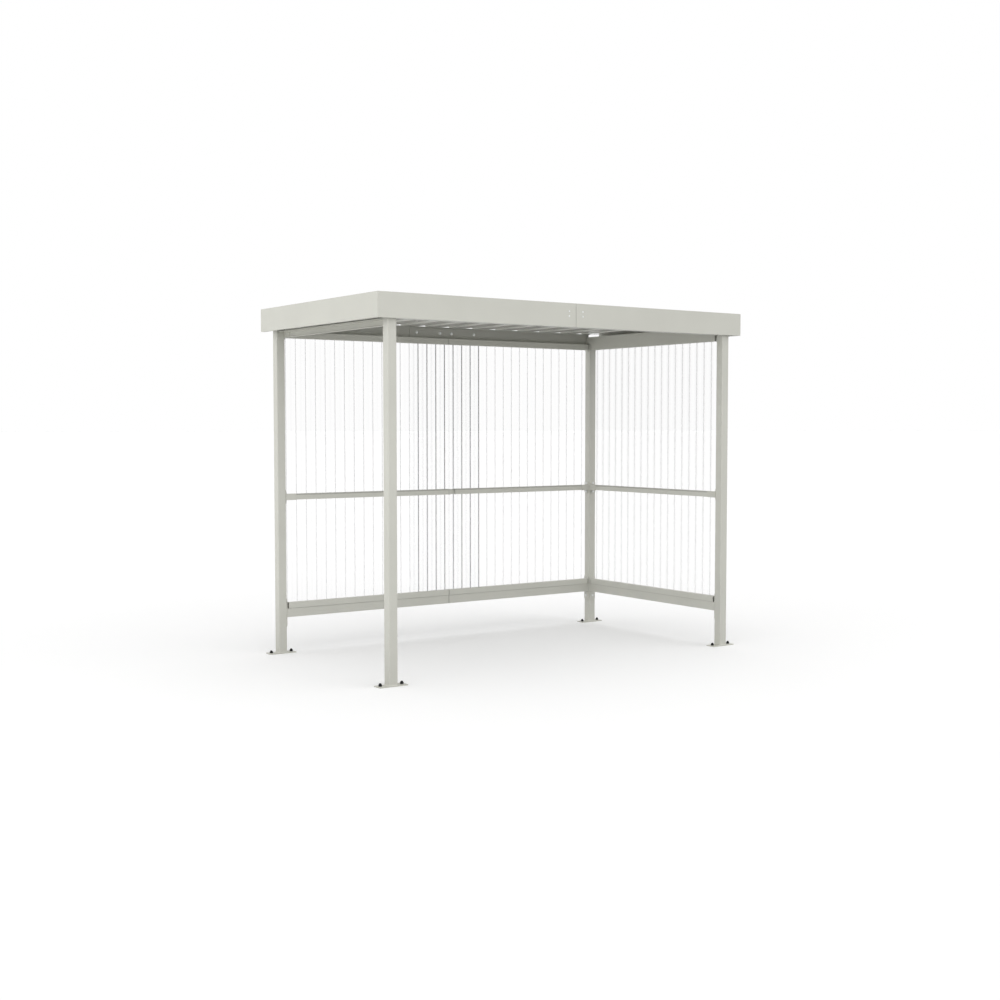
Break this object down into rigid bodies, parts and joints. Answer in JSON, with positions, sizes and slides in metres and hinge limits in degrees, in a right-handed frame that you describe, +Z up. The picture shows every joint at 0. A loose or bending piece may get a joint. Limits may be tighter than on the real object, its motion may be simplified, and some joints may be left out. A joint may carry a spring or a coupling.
{
  "type": "smoking shelter",
  "caption": "Open-sided steel smoking shelter on four posts, with clear ribbed sheets at the back and right and a flat ribbed roof in a deep pale grey fascia.",
  "frame": {"origin": "on the ground, at the centre of the footprint", "axes": "+X right along the open front, +Y from the front to the clad back, +Z up"},
  "size_m": [2.94, 1.5815, 2.347],
  "materials": {
    "frame_paint": "satin",
    "deck_coating": "satin",
    "clear_sheet": "gloss"
  },
  "bodies": {
    "root": {"post_front_left": "frame_paint", "post_front_right": "frame_paint", "post_back_left": "frame_paint", "post_back_right": "frame_paint", "base_plate_front_left": "frame_paint", "base_plate_front_right": "frame_paint", "base_plate_back_left": "frame_paint", "base_plate_back_right": "frame_paint", "back_bottom_rail_left": "frame_paint", "back_bottom_rail_right": "frame_paint", "side_bottom_rail": "frame_paint", "back_kick_plate_left": "frame_paint", "back_kick_plate_right": "frame_paint", "side_kick_plate": "frame_paint", "back_mid_rail_left": "frame_paint", "back_mid_rail_right": "frame_paint", "side_mid_rail": "frame_paint", "mid_rail_splice": "frame_paint", "back_top_rail_left": "frame_paint", "back_top_rail_right": "frame_paint", "right_top_rail": "frame_paint", "left_top_rail": "frame_paint", "brackets_front_left": "frame_paint", "brackets_front_right": "frame_paint", "brackets_back_left": "frame_paint", "brackets_back_right": "frame_paint", "front_beam_left": "frame_paint", "front_beam_right": "frame_paint", "rear_beam_left": "frame_paint", "rear_beam_right": "frame_paint", "beam_splices": "frame_paint", "left_side_beam": "frame_paint", "right_side_beam": "frame_paint", "roof_deck_left": "deck_coating", "roof_deck_middle": "deck_coating", "roof_deck_right": "deck_coating", "front_fascia_left": "frame_paint", "front_fascia_right": "frame_paint", "left_fascia": "frame_paint", "right_fascia": "frame_paint", "fascia_splice": "frame_paint", "fascia_brackets": "frame_paint", "back_sheet_left": "clear_sheet", "back_sheet_right": "clear_sheet", "side_sheet": "clear_sheet"}
  },
  "joints": []
}
